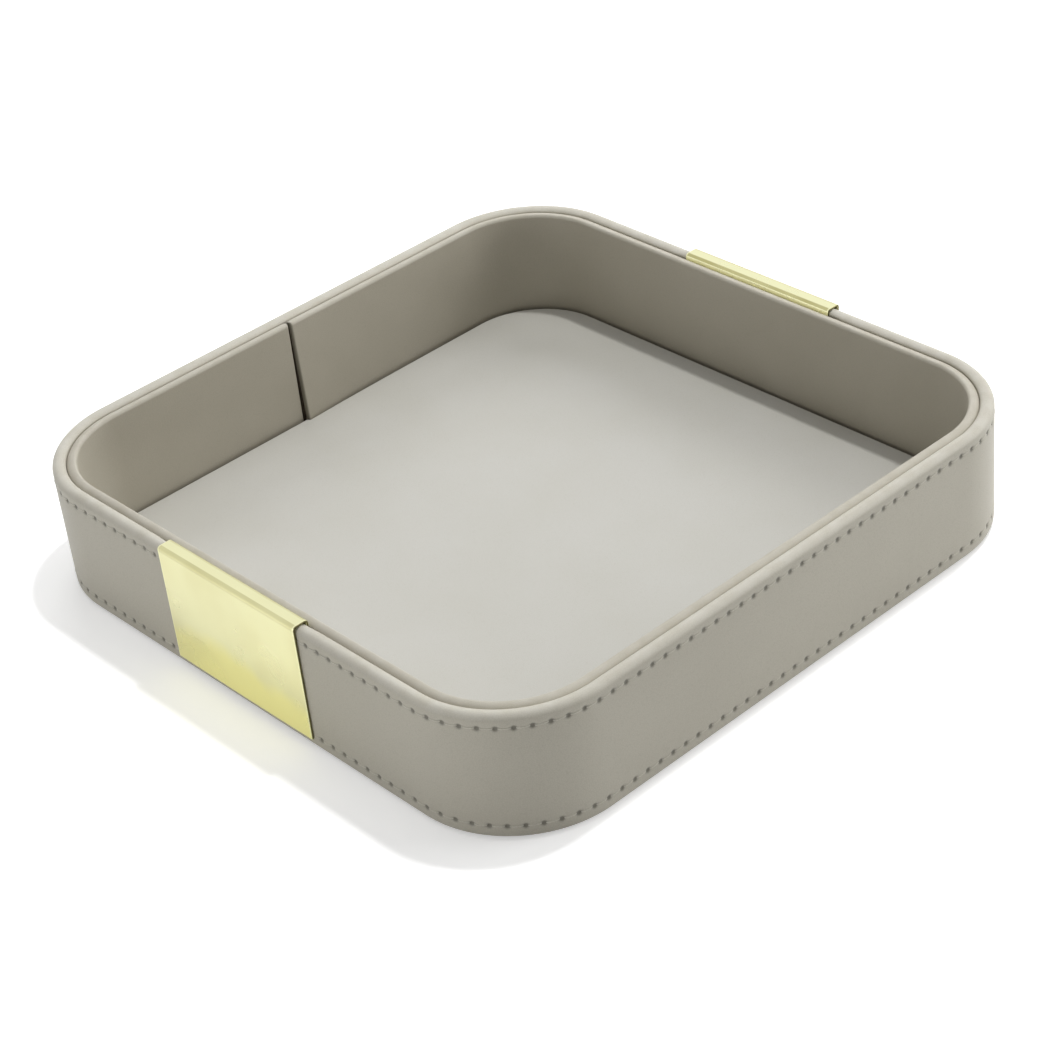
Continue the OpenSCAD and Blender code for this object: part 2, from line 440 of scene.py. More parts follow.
def makeHide(name, look):
    material, tree, shader, place = newMaterial(name)
    size = look["grainSize"]
    wander = addNode(tree, "ShaderNodeTexNoise",
                     {"Vector": place, "Scale": 1 / (look["wanderGrains"] * size)})
    shifted = vectorCalc(tree, "SCALE", {0: wander.outputs["Color"], "Scale": look["wander"] * size})
    loose = vectorCalc(tree, "ADD", {0: place, 1: shifted})
    cells = addNode(tree, "ShaderNodeTexVoronoi", {"Vector": loose, "Scale": 1 / size},
                    feature="DISTANCE_TO_EDGE")
    pebble = mapped(tree, cells.outputs["Distance"], 0.0, look["pebbleEdge"], 0.0, 1.0)
    pores = noise(tree, place, size / look["poresPerGrain"])
    mottle = noise(tree, place, look["mottleSize"], detail=3.0)
    waves = noise(tree, place, look["waveSize"], detail=1.0)

    colour = mixColours(tree, spreadNoise(tree, mottle), look["shade"], look["colour"])
    creases = mapped(tree, pebble, 0.0, look["creaseEdge"], look["creaseShare"], 0.0)
    colour = mixColours(tree, creases, colour, look["crease"])
    height = axesOf(tree, place)["Z"]
    # paler towards the rim's top in random patches: partly wear, partly a painted highlight where the rim
    # catches the light
    wornAndLit = mapped(tree, height, look["wearAndHighlightFrom"], look["wearAndHighlightTo"], 0.0, look["wearAndHighlightShare"])
    patchNoise = noise(tree, place, look["mottleSize"] / look["patchesPerMottle"], detail=3.0)
    patches = mapped(tree, patchNoise, *look["patchSpan"], look["leastPatch"], 1.0)
    colour = mixColours(tree, calc(tree, "MULTIPLY", wornAndLit, patches), colour, look["wearAndHighlight"])
    # painted shade in the gap where the inner wall and the floor panel's edge meet
    gapShade = mapped(tree, height, look["gapShadeFrom"], look["gapShadeTo"], look["gapShadeShare"], 0.0)
    colour = mixColours(tree, gapShade, colour, look["hole"])
    # painted shade in the needle holes and on the cut ends, from the stored mark
    dark = mapped(tree, markOf(tree, "dark"), *look["holeShadeSpan"], 0.0, look["holeShadeShare"])
    colour = mixColours(tree, dark, colour, look["hole"])

    gloss = spreadNoise(tree, weighed(tree, pores, 0.5, mottle, 0.5), *look["roughness"])
    grain = calc(tree, "MULTIPLY_ADD", pores, look["poreHeight"], pebble)
    soft = bump(tree, waves, look["waveDepth"])
    setInputs(tree, shader, {"Base Color": colour, "Roughness": gloss,
                             "Normal": bump(tree, grain, look["grainDepth"], soft),
                             "Specular IOR Level": look["specular"], "Sheen Weight": look["sheen"],
                             "Sheen Roughness": look["sheenRoughness"]})
    return material


def makeBrass(name, look):
    material, tree, shader, place = newMaterial(name)
    clouds = noise(tree, place, look["cloudSize"], detail=1.0)
    hazes = noise(tree, place, look["hazeSize"], detail=1.0)
    cloudy = spreadNoise(tree, clouds, step="SMOOTHSTEP")
    colour = mixColours(tree, cloudy, look["colour"], look["tarnish"])
    # painted reflection of the shaded floor beside the tray: the brass turns deeper yellow towards its
    # foot, with a wavy border
    border = calc(tree, "MULTIPLY_ADD", clouds, look["borderWave"], axesOf(tree, place)["Z"])
    lowReflection = mapped(tree, border, look["lowReflectionFrom"], look["lowReflectionTo"], look["lowReflectionShare"], 0.0,
                     "SMOOTHSTEP")
    colour = mixColours(tree, lowReflection, colour, look["lowReflection"])
    # painted dark reflection along the bends, thinner where the haze is
    hazy = spreadNoise(tree, hazes, look["leastBendReflection"] * look["bendReflectionShare"], look["bendReflectionShare"])
    bendReflection = calc(tree, "MULTIPLY", markOf(tree, "bend"), hazy)
    colour = mixColours(tree, bendReflection, colour, look["bend"])
    # painted highlight on the tops and lips, and near the cut ends, from the stored mark
    highlighted = calc(tree, "MULTIPLY", markOf(tree, "topHighlight"), look["topHighlightShare"])
    colour = mixColours(tree, highlighted, colour, look["topHighlight"])
    gloss = spreadNoise(tree, hazes, *look["roughness"], "SMOOTHSTEP")
    setInputs(tree, shader, {"Base Color": colour, "Roughness": gloss, "Metallic": 1.0,
                             "Normal": bump(tree, clouds, look["waveDepth"])})
    return material


# What thread, suede and board share, from one value each for shade, gloss and relief
def dressPlain(tree, shader, look, shade, gloss, relief):
    setInputs(tree, shader, {"Base Color": mixColours(tree, shade, look["shade"], look["colour"]),
                             "Roughness": spreadNoise(tree, gloss, *look["roughness"]),
                             "Normal": bump(tree, relief, look["depth"]),
                             "Sheen Weight": look["sheen"]})


def makeThread(name, look):
    material, tree, shader, place = newMaterial(name)
    thread = addNode(tree, "ShaderNodeUVMap", uv_map="threadWrap").outputs[0]
    turns = (look["plies"], look["turns"], 1)
    sides = axesOf(tree, addNode(tree, "ShaderNodeMapping", {"Vector": thread, "Scale": turns}).outputs[0])
    twist = calc(tree, "PINGPONG", calc(tree, "ADD", sides["X"], sides["Y"]), 0.5)
    fuzz = noise(tree, place, look["fuzzSize"])
    shade = weighed(tree, twist, look["twistShare"], fuzz, look["fuzzShare"])
    relief = calc(tree, "MULTIPLY_ADD", fuzz, look["fuzzHeight"], twist)
    dressPlain(tree, shader, look, shade, fuzz, relief)
    return material


def makeSuede(name, look):
    material, tree, shader, place = newMaterial(name)
    nap = noise(tree, place, look["napSize"], detail=3.0, roughness=0.7)
    strokes = noise(tree, place, look["strokeSize"])
    shade = weighed(tree, strokes, look["strokeShare"], nap, look["napShare"])
    dressPlain(tree, shader, look, shade, strokes, nap)
    return material


def makeBoard(name, look):
    material, tree, shader, place = newMaterial(name)
    layers = addNode(tree, "ShaderNodeMapping", {"Vector": place, "Scale": (1, 1, look["flatness"])})
    fine = noise(tree, layers.outputs[0], look["fibreSize"], detail=5.0, roughness=0.7)
    flecks = noise(tree, place, look["fleckSize"])
    shade = spreadNoise(tree, weighed(tree, fine, look["fibreShare"], flecks, look["fleckShare"]))
    dressPlain(tree, shader, look, shade, fine, fine)
    return material


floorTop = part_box("floor_leather")[1].z
bandHide = {
    "colour": (0.509, 0.482, 0.404),
    "shade": (0.474, 0.447, 0.372),
    "crease": (0.35, 0.33, 0.263),
    "creaseShare": 0.35,
    # paler colour at the rim's top: partly wear, partly painted highlight
    "wearAndHighlight": (0.60, 0.585, 0.535),
    "wearAndHighlightFrom": bandHigh.z - 1.6 * mm,
    "wearAndHighlightTo": bandHigh.z - 0.2 * mm,
    "wearAndHighlightShare": 0.5,
    # colour of the painted shade in needle holes, on cut ends and beside the floor's edge
    "hole": (0.085, 0.078, 0.057),
    "holeShadeShare": 0.75,
    "holeShadeSpan": (0.1, 0.6),  # of the mark "dark"
    "gapShadeFrom": -1 * mm,
    "gapShadeTo": 0.0,
    "gapShadeShare": 0.0,  # how much painted shade darkens the hide beside the floor's edge
    "grainSize": 0.55 * mm,
    "grainDepth": 0.012 * mm,
    "wander": 0.9,  # how far the pebbles are pushed about, in grains
    "wanderGrains": 3,  # and over how many of them
    "pebbleEdge": 0.28,
    "creaseEdge": 0.5,
    "poresPerGrain": 3,
    "poreHeight": 0.25,  # as a share of a pebble's
    "mottleSize": 28 * mm,
    "patchesPerMottle": 6,
    "patchSpan": (0.35, 0.65),
    "leastPatch": 0.4,
    "waveSize": 14 * mm,
    "waveDepth": 0.12 * mm,
    "roughness": (0.42, 0.56),
    "specular": 0.5,
    "sheen": 0.05,
    "sheenRoughness": 0.4,
}
# The inner band and floor panel are the same leather as the outer band: the inner band's colour is drawn
# darker as painted shade for the tray's shaded inside, the floor's paler and greyer as painted sheen
innerHideWithPaintedShade = {**bandHide, "colour": (0.45, 0.418, 0.344), "shade": (0.418, 0.386, 0.313),
             "wearAndHighlightShare": 0.4, "gapShadeFrom": floorTop - 0.3 * mm, "gapShadeTo": floorTop + 0.15 * mm,
             "gapShadeShare": 0.12}
floorHideWithPaintedSheen = {**bandHide, "colour": (0.527, 0.52, 0.485), "shade": (0.505, 0.497, 0.455),
             "gapShadeFrom": floorTop - 0.5 * mm, "gapShadeTo": floorTop - 0.1 * mm, "gapShadeShare": 0.2,
             "wearAndHighlightShare": 0.0, "grainSize": 0.45 * mm, "grainDepth": 0.008 * mm, "creaseShare": 0.2,
             "waveSize": 40 * mm, "waveDepth": 0.15 * mm, "roughness": (0.38, 0.5)}
brassLook = {
    "colour": (0.885, 0.865, 0.52),
    "tarnish": (0.83, 0.80, 0.46),
    # deeper yellow towards the clip's foot: painted reflection of the shaded floor beside the tray
    "lowReflection": (0.95, 0.90, 0.385),
    "lowReflectionShare": 0.85,
    "lowReflectionFrom": 16 * mm,
    "lowReflectionTo": 23 * mm,
    "borderWave": 12 * mm,
    # dark olive on the bends: painted reflection of dark surroundings in the curved metal
    "bend": (0.40, 0.36, 0.13),
    "bendReflectionShare": 0.9,
    "leastBendReflection": 0.7,  # share of it where the haze is thin
    # paler yellow on the tops and lips: painted highlight
    "topHighlight": (0.99, 0.98, 0.62),
    "topHighlightShare": 0.8,
    "cloudSize": 16 * mm,
    "hazeSize": 11 * mm,
    "roughness": (0.27, 0.33),
    "waveDepth": 0.05 * mm,
}
cutBrassLook = {**brassLook, "colour": (0.27, 0.25, 0.115), "tarnish": (0.20, 0.18, 0.08),
                "lowReflectionShare": 0.0, "bendReflectionShare": 0.0, "topHighlightShare": 0.0,
                "roughness": (0.45, 0.6), "waveDepth": 0.02 * mm}
threadLook = {"colour": (0.58, 0.56, 0.48), "shade": (0.50, 0.475, 0.40), "plies": 1.0, "turns": 5.0,
              "twistShare": 1.2, "fuzzShare": 0.4, "fuzzHeight": 0.2, "fuzzSize": 0.12 * mm,
              "depth": 0.05 * mm, "roughness": (0.5, 0.75), "sheen": 0.3}
suedeLook = {"colour": (0.115, 0.105, 0.09), "shade": (0.07, 0.063, 0.054), "napSize": 0.25 * mm,
             "napShare": 0.5, "strokeSize": 18 * mm, "strokeShare": 0.6, "depth": 0.06 * mm,
             "roughness": (0.85, 0.98), "sheen": 0.5}
boardLook = {"colour": (0.15, 0.115, 0.08), "shade": (0.09, 0.068, 0.046), "fibreSize": 0.9 * mm,
             "fibreShare": 0.7, "fleckSize": 5 * mm, "fleckShare": 0.3, "depth": 0.04 * mm,
             "flatness": 4, "roughness": (0.75, 0.95), "sheen": 0.0}
cardLook = {**boardLook, "colour": (0.47, 0.44, 0.37), "shade": (0.33, 0.31, 0.26),
            "fibreSize": 0.7 * mm, "fleckSize": 4 * mm, "depth": 0.02 * mm}

materials = {
    "outer_hide": makeHide("outerHide", bandHide),
    "inner_hide": makeHide("innerHideWithPaintedShade", innerHideWithPaintedShade),
    "floor_hide": makeHide("floorHideWithPaintedSheen", floorHideWithPaintedSheen),
    "brass": makeBrass("palePolishedBrass", brassLook),
    "cutBrass": makeBrass("cutBrassEdge", cutBrassLook),
    "thread": makeThread("waxedThread", threadLook),
    "suede": makeSuede("darkSuede", suedeLook),
    "fibreboard": makeBoard("rawFibreboard", boardLook),
    "card": makeBoard("greyCard", cardLook),
}
print("materials made:", len(materials))


# Bands

rowHeights = {}
for row in ("bottom_stitching", "top_stitching"):
    rowLow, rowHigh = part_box(row)
    rowHeights[row] = (rowLow.z + rowHigh.z) / 2
outerBand = {
    "inset": 0.0,
    "thickness": 3.6 * mm,
    "hide": 0.8 * mm,
    "footRound": 1.4 * mm,
    "turnIn": 12 * mm,  # hide turned down inside the band
    "lap": 8 * mm,  # hide turned in under the base
    "gap": 0.3 * mm,  # where the strip's ends meet, under the right clip
    "endRound": 0.01 * mm,
    "endShade": 0.0,
    "proudEnd": 0.0,
    "proudRun": 1.0,
    "lowerRow": rowHeights["bottom_stitching"],
    "upperRow": rowHeights["top_stitching"],
    "channelWidth": 0.9 * mm,
    "channelDepth": 0.04 * mm,
    "holeWidth": 1.5 * mm,
    "holeDepth": 0.4 * mm,
    "columnsPerStitch": 7,
    "crowding": 0.7,  # how far the columns gather at the needle holes
    "besideRow": (0.25 * mm, 0.5 * mm, 0.75 * mm, 1.1 * mm, 1.6 * mm),
    "betweenRows": 5,  # gaps between the rows' own section points
    "rimOut": (1.8 * mm, 1.8 * mm),  # width and height of the rim's outer quarter
    "rimIn": (1.8 * mm, 1.25 * mm),  # and of its quarter towards the groove
    "swellFall": ((3 * mm, 1.0), (6 * mm, 0.4)),  # below the rim, and the swell's share there
    "footSteps": 6,
    "rimOutSteps": 9,
    "rimInSteps": 8,
    "liningFootSteps": 3,
}
innerLow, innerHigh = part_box("inner_leather")
innerBand = {
    "inset": bandHigh.x - innerHigh.x,
    "thickness": 2.8 * mm,
    "hide": 0.7 * mm,
    "turnIn": 9 * mm,
    "seamX": -3.8 * mm,
    "gap": 0.6 * mm,  # between the two folded ends, whose rounding widens it in front
    "endRound": 0.7 * mm,
    # painted shade on the cut ends that face each other in the seam
    "endShade": 0.5,
    "proudEnd": 1.6 * mm,  # how far the +X end leans in at its foot
    "proudRun": 20 * mm,
    "channelWidth": 1.0,  # its face has no stitches, so they press nothing in
    "channelDepth": 0.0,
    "holeWidth": 1.0,
    "holeDepth": 0.0,
    "lowerRow": 0.0,
    "upperRow": 0.0,
    # runs from each end to its stations in mm, and gaps between those in a corner
    "nearEnd": (0, 0.04, 0.1, 0.18, 0.28, 0.4, 0.55, 0.75, 1, 1.5, 2.5, 4, 6, 9, 13, 18, 24, 32),
    "cornerGaps": 24,
    "rimOut": (1.9 * mm, 1.3 * mm),  # width and height of the rim's quarter towards the groove
    "rimIn": (0.9 * mm, 1.1 * mm),  # and of its quarter towards the tray
    "swellFall": ((2.5 * mm, 1.0), (5.5 * mm, 0.4)),
    "rimOutSteps": 7,
    "rimInSteps": 8,
    "wallShares": (0.8, 0.5, 0.2, 0.05, 0),  # heights of the wall's section points
}
leftLow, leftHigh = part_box("left_clip")
rightLow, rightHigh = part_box("right_clip")
groove = {
    "swell": 0.31 * mm,  # how far each rim swells into the groove
    "clipReach": (leftHigh.y - leftLow.y) / 2 + 1.5 * mm,  # where it stays straight, at the clips
    "clipFade": 4 * mm,
    "leftClip": 1.5 * sideY + sideX + 2 * cornerRun - (leftLow.y + leftHigh.y) / 2,
    "rightClip": sideY / 2 + (rightLow.y + rightHigh.y) / 2,
    "roundLength": outlineLength,
}
stitches = {
    "count": 168,
    "length": 4.1 * mm,
    "thickness": 0.5 * mm,
    "lift": 0.16 * mm,
    "dive": 0.5 * mm,
    "seat": 0.31 * mm,
    "slant": math.radians(3),
    "slantSpread": math.radians(1.5),
    "sizeSpread": 0.03,
    "archPower": 5,  # a higher one keeps the stitch flat for longer
    "taperShare": 0.35,  # how much thinner its ends are
    "taperPower": 6,
    "rings": 8,
    "sides": 6,
}
holePitch = outlineLength / stitches["count"]


# How far each point of a rim's quarter shares in its swell, from its top to its side
def swellShares(steps):
    return [math.sin(math.pi / 2 * step / steps) ** 2 for step in range(1, steps + 1)]


# Section of the outer band's hide, as distance out from the band's face and height
def outerSection():
    thick, hide, foot = outerBand["thickness"], outerBand["hide"], outerBand["footRound"]
    low, high = bandLow.z, bandHigh.z
    rim = thick / 2
    lapEnd = -thick - outerBand["lap"]
    turned = high - outerBand["turnIn"]
    beside = outerBand["besideRow"]
    nearRow = [-offset for offset in reversed(beside)] + [0, *beside]
    faceHeights = []
    for rowHeight in sorted(rowHeights.values()):
        faceHeights += [rowHeight + offset for offset in nearRow]
    between = np.linspace(faceHeights[len(nearRow) - 1], faceHeights[len(nearRow)],
                          outerBand["betweenRows"] + 1)[1:-1]
    faceHeights = sorted(faceHeights + list(between))
    skin = [(lapEnd, low), (-thick, low)]
    skin += arc((-foot, low + foot), foot, -90, 0, outerBand["footSteps"])
    faceStart = len(skin) - 1
    skin += [(0, height) for height in faceHeights]
    faceEnd = len(skin)
    (outWide, outTall), (inWide, inTall) = outerBand["rimOut"], outerBand["rimIn"]
    inSteps = outerBand["rimInSteps"]
    skin += arc((-outWide, high - outTall), outWide, 0, 90, outerBand["rimOutSteps"], outTall)
    swell = [0.0] * len(skin) + [-share for share in swellShares(inSteps)]
    skin += arc((-outWide, high - inTall), inWide, 90, 180, inSteps, inTall)[1:]
    for fall, share in outerBand["swellFall"]:
        skin.append((-thick, high - fall))
        swell.append(-share)
    skin.append((-thick, turned))
    lining = [(-thick + hide, turned)]
    lining += arc((-rim, high - rim), rim - hide, 180, 0, inSteps)
    lining += arc((-foot, low + foot), foot - hide, 0, -90, outerBand["liningFootSteps"])
    lining += [(lapEnd, low + hide)]
    face = [1.0 if faceStart <= i < faceEnd else 0.0 for i in range(len(skin))]
    return withMarks(skin, lining, face=face, swell=swell, lean=[])


# Section of the inner band's hide, whose back is bare below the turned-down edge
def innerSection():
    thick, hide, back = innerBand["thickness"], innerBand["hide"], -innerBand["inset"]
    low, high = innerLow.z, innerHigh.z
    rim = thick / 2
    turned = high - innerBand["turnIn"]
    (outWide, outTall), (inWide, inTall) = innerBand["rimOut"], innerBand["rimIn"]
    outSteps = innerBand["rimOutSteps"]
    skin = [(back, turned)]
    swell = [0.0]
    for fall, share in reversed(innerBand["swellFall"]):
        skin.append((back, high - fall))
        swell.append(share)
    skin += arc((back - outWide, high - outTall), outWide, 0, 90, outSteps, outTall)
    swell += swellShares(outSteps)[::-1]
    skin += arc((back - outWide, high - inTall), inWide, 90, 180, innerBand["rimInSteps"], inTall)[1:]
    skin += [(back - thick, low + (high - low) * share) for share in innerBand["wallShares"]]
    skin += [(back, low), (back, low + hide)]
    lining = [(back - thick + hide, low + hide)]
    lining += arc((back - rim, high - rim), rim - hide, 180, 0, outSteps)
    lining += [(back - hide, turned)]
    lean = [(high - z) / (high - low) for _, z in skin + lining]
    return withMarks(skin, lining, face=[], swell=swell, lean=lean)


# Points of a section with their share in each mark, which is 0 past the end of its list
def withMarks(skin, lining, **marks):
    points = [(x, 0, z) for x, z in skin + lining]
    marks["skin"] = [1.0] * len(skin)
    for shares in marks.values():
        shares += [0.0] * (len(points) - len(shares))
    return points, marks


# Stations of the outer strip gather at every needle hole, and start at the joint
def outerStations(start, length):
    phases = np.arange(stitches["count"] * outerBand["columnsPerStitch"]) / outerBand["columnsPerStitch"]
    gathered = phases - outerBand["crowding"] * np.sin(2 * np.pi * phases) / (2 * np.pi)
    runs = (gathered * holePitch - start) % outlineLength
    return sorted([0.0, length] + [run for run in runs if 0 < run < length])


# Stations of the inner strip gather at its ends and in the corners
def innerStations(start, length):
    nearEnd = [run * mm for run in innerBand["nearEnd"]]
    runs = nearEnd + [length - run for run in nearEnd]
    cornerStarts = (sideY, sideY + cornerRun + sideX, 2 * sideY + 2 * cornerRun + sideX,
                    2 * sideY + 2 * sideX + 3 * cornerRun)
    gaps = innerBand["cornerGaps"]
    for cornerStart in cornerStarts:
        for step in range(gaps + 1):
            runs.append((cornerStart + cornerRun * step / gaps - start) % outlineLength)
    return sorted(run for run in runs if 0 <= run <= length)


bandTree = buildBandTree()


# A band's strip starts half its gap past the middle of its joint or seam
def makeBand(name, node, slot, band, middleRun, section, stationsFrom):
    start = middleRun + band["gap"] / 2
    length = outlineLength - band["gap"]
    points, marks = section
    profile = helperPoints("bandSection", points, **marks)
    stations = helperPoints("bandStations", [(run, 0, 0) for run in stationsFrom(start, length)])
    sizes = {**tray, **groove, **band, "section": profile, "stations": stations, "start": start,
             "stripLength": length, "holePitch": holePitch,
             "middle": -band["inset"] - band["thickness"] / 2, "material": materials[slot]}
    piece = growPiece(name, bandTree, sizes, [profile, stations])
    tidyMesh(piece, sharpAngle=40, fillEnds=True)
    finishPiece(piece, slot, node)


jointRun = sideY / 2
seamRun = sideY + cornerRun + sideX / 2 - innerBand["seamX"]
makeBand("outer_band_hide", "outer_leather", "outer_hide", outerBand, jointRun, outerSection(),
         outerStations)
makeBand("inner_band_hide", "inner_leather", "inner_hide", innerBand, seamRun, innerSection(),
         innerStations)


# Stitching

# One stitch, arched from needle hole to needle hole, X out of the band and Y along it
def stitchMesh():
    rings, sides = stitches["rings"], stitches["sides"]
    radius = stitches["thickness"] / 2
    shape = bmesh.new()
    wrap = shape.loops.layers.uv.new("threadWrap")
    loops = []
    for ring in range(rings):
        share = 2 * ring / (rings - 1) - 1
        dive = (stitches["lift"] + stitches["dive"]) * abs(share) ** stitches["archPower"]
        height = stitches["lift"] - dive
        thin = radius * (1 - stitches["taperShare"] * abs(share) ** stitches["taperPower"])
        corners = []
        for side in range(sides):
            angle = 2 * math.pi * side / sides
            corners.append(shape.verts.new((height + thin * math.cos(angle), share * stitches["length"] / 2,
                                            thin * math.sin(angle))))
        loops.append(corners)
    joinLoops(shape, loops)
    for number, quad in enumerate(shape.faces):
        ring, side = divmod(number, sides)
        corners = ((side, ring), (side + 1, ring), (side + 1, ring + 1), (side, ring + 1))
        for loop, (u, v) in zip(quad.loops, corners):
            loop[wrap].uv = (u / sides, v / (rings - 1))
    shape.faces.new(loops[0])
    shape.faces.new(loops[-1][::-1])
    bmesh.ops.recalc_face_normals(shape, faces=shape.faces)
    mesh = meshFrom(shape, "stitch")
    mesh.shade_smooth()
    return mesh


def makeStitchRow(name, node, seed, tree):
    stitch = newObject("stitch", stitchMesh())
    sizes = {**tray, **stitches, "stitch": stitch, "holePitch": holePitch, "rowHeight": rowHeights[node],
             "seed": seed, "material": materials["thread"]}
    piece = growPiece(name, tree, sizes, [stitch])
    finishPiece(piece, "thread", node)


stitchTree = buildStitchTree()
makeStitchRow("top_thread", "top_stitching", 3, stitchTree)
makeStitchRow("bottom_thread", "bottom_stitching", 8, stitchTree)


# Floor panel and suede, drawn as rings from the top over the edge to the underside

def outlinePoints(inset, steps=20):
    radius = tray["cornerRadius"] - inset
    points = []
    for corner, (signX, signY) in enumerate(((1, 1), (-1, 1), (-1, -1), (1, -1))):
        centre = (signX * sideX / 2, signY * sideY / 2)
        points += arc(centre, radius, 90 * corner, 90 * corner + 90, steps)
    return points


def ringPiece(name, node, slot, rings):
    shape = bmesh.new()
    loops = []
    for points, height in rings:
        loops.append([shape.verts.new((x, y, height)) for x, y in points])
    joinLoops(shape, loops)
    shape.faces.new(loops[0])
    shape.faces.new(loops[-1][::-1])
    mesh = meshFrom(shape, name)
    piece = newObject(name, mesh)
    mesh.materials.append(materials[slot])
    tidyMesh(piece, sharpAngle=50)
    finishPiece(piece, slot, node)


floorLow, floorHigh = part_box("floor_leather")
floorPanel = {
    "inset": bandHigh.x - floorHigh.x + 0.55 * mm,
    "hide": 0.8 * mm,
    "edgeRound": 0.5 * mm,
    "edgeSteps": 6,
    "flatFrom": 4 * mm,  # where its flat middle starts, in from the edge
    "seamRoom": 1.0 * mm,  # how far its edge gives way to the inner band's leaning end
    "besideSeam": (60, 45, 32, 22, 14, 8, 4, 1.5, 0.4, -0.4, -1.2),  # mm, points of that edge
}
suedeSheet = {
    "edgeSteps": 6,
    "flatFrom": 2 * mm,
}


# The panel's edge, drawn back where the inner band's proud end stands over it
def floorOutline(inset):
    points = outlinePoints(inset)
    drawn = []
    for i, (x, y) in enumerate(points):
        drawn.append((x, y))
        afterX, afterY = points[(i + 1) % len(points)]
        alongFar = y > 0 and math.isclose(y, afterY) and x - afterX > sideX / 2
        for place in floorPanel["besideSeam"] if alongFar else ():
            beside = place * mm
            give = math.exp(-beside / innerBand["proudRun"]) if beside > 0 else 0.0
            drawn.append((innerBand["seamX"] + beside, y - floorPanel["seamRoom"] * give))
    return drawn


def makeFloorPanel():
    inset, hide, edge = floorPanel["inset"], floorPanel["hide"], floorPanel["edgeRound"]
    top, low = floorHigh.z, floorLow.z
    rings = [(floorOutline(inset + floorPanel["flatFrom"]), top)]
    for across, height in arc((-edge, top - edge), edge, 90, 0, floorPanel["edgeSteps"]):
        rings.append((floorOutline(inset - across), height))
    for turned, height in ((0, low), (hide, low), (hide, top - hide)):
        rings.append((floorOutline(inset + turned), height))
    ringPiece("floor_panel_hide", "floor_leather", "floor_hide", rings)


def makeSuedeSheet():
    low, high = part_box("bottom_suede")
    inset = bandHigh.x - high.x
    half = (high.z - low.z) / 2
    flat = outlinePoints(inset + suedeSheet["flatFrom"])
    rings = [(flat, high.z)]
    for across, height in arc((-half, high.z - half), half, 90, -90, suedeSheet["edgeSteps"]):
        rings.append((outlinePoints(inset - across), height))
    rings.append((flat, low.z))
    ringPiece("suede_sheet", "bottom_suede", "suede", rings)


makeFloorPanel()
makeSuedeSheet()


# Clips

clipSheet = {
    "thickness": 0.6 * mm,
    "bendRadius": 1.1 * mm,
    "legDepth": 10 * mm,
    "edgeRound": 0.16 * mm,
    "bendSteps": 8,
    "stations": 24,
    "sideStations": (0, 0.3 * mm, 0.6 * mm, 1.0 * mm),
    "bendEdge": 0.25 * mm,  # past the bend, where its painted dark reflection ends
    "faceShares": (0, 0.12, 0.25, 0.4, 0.55, 0.7, 0.85, 0.985),
    "outerBendReflection": 0.4,  # how strong the painted dark reflection on the left clip's outer bend is
    "innerBendReflection": 0.85,  # and on the right clip's inner one
    "leftHighlightShare": 0.7,  # how strong the painted highlight on the tops and lips is
    "rightHighlightShare": 1.3,
    "curl": 0.12 * mm,  # how far the face's lower corners lean in to the band
    "slack": 0.01 * mm,
    "softAngle": 50,  # edges sharper than this are softened
}


# Section of a clip as distance in from its outer face and height, in one closed loop,
# with the share of each point in the painted dark reflection on the bend and in the painted highlight on
# the top
def clipSection(low, high, width, side):
    thick, bend, steps = clipSheet["thickness"], clipSheet["bendRadius"], clipSheet["bendSteps"]
    edge = clipSheet["bendEdge"]
    legEnd = high - clipSheet["legDepth"]
    face = [(0, low + (high - bend - low) * share) for share in clipSheet["faceShares"]]
    over = arc((bend, high - bend), bend, 180, 90, steps)
    flat = [(bend + edge, high), (width - bend - edge, high)]
    down = arc((width - bend, high - bend), bend, 90, 0, steps)
    back = arc((width - bend, high - bend), bend - thick, 0, 90, steps)
    underFlat = [(x, high - thick) for x, _ in reversed(flat)]
    under = arc((bend, high - bend), bend - thick, 90, 180, steps)
    behind = [(thick, z) for _, z in reversed(face)]
    outerShare = clipSheet["outerBendReflection"] if side < 0 else 0.0
    innerShare = clipSheet["innerBendReflection"] if side > 0 else 0.0
    bendReflection = [0.0] * len(face) + [outerShare] * len(over) + [0.0] * len(flat)
    # the inner bend gets the painted dark reflection down to just past its middle, and its lip gets the
    # painted highlight
    bendReflection += [innerShare if 1 <= step <= steps // 2 + 1 else 0.0 for step in range(len(down))]
    highlightShare = clipSheet["leftHighlightShare"] if side < 0 else clipSheet["rightHighlightShare"]
    topHighlight = [0.0] * (len(face) + len(over)) + [highlightShare] * len(flat)
    topHighlight += [0.0 if step <= steps // 2 + 1 else highlightShare for step in range(len(down))]
    points = face + over + flat + down + [(width, legEnd), (width - thick, legEnd)]
    points += back + underFlat + under + behind
    bendReflection += [0.0] * (len(points) - len(bendReflection))
    topHighlight += [0.0] * (len(points) - len(topHighlight))
    return points, bendReflection, topHighlight


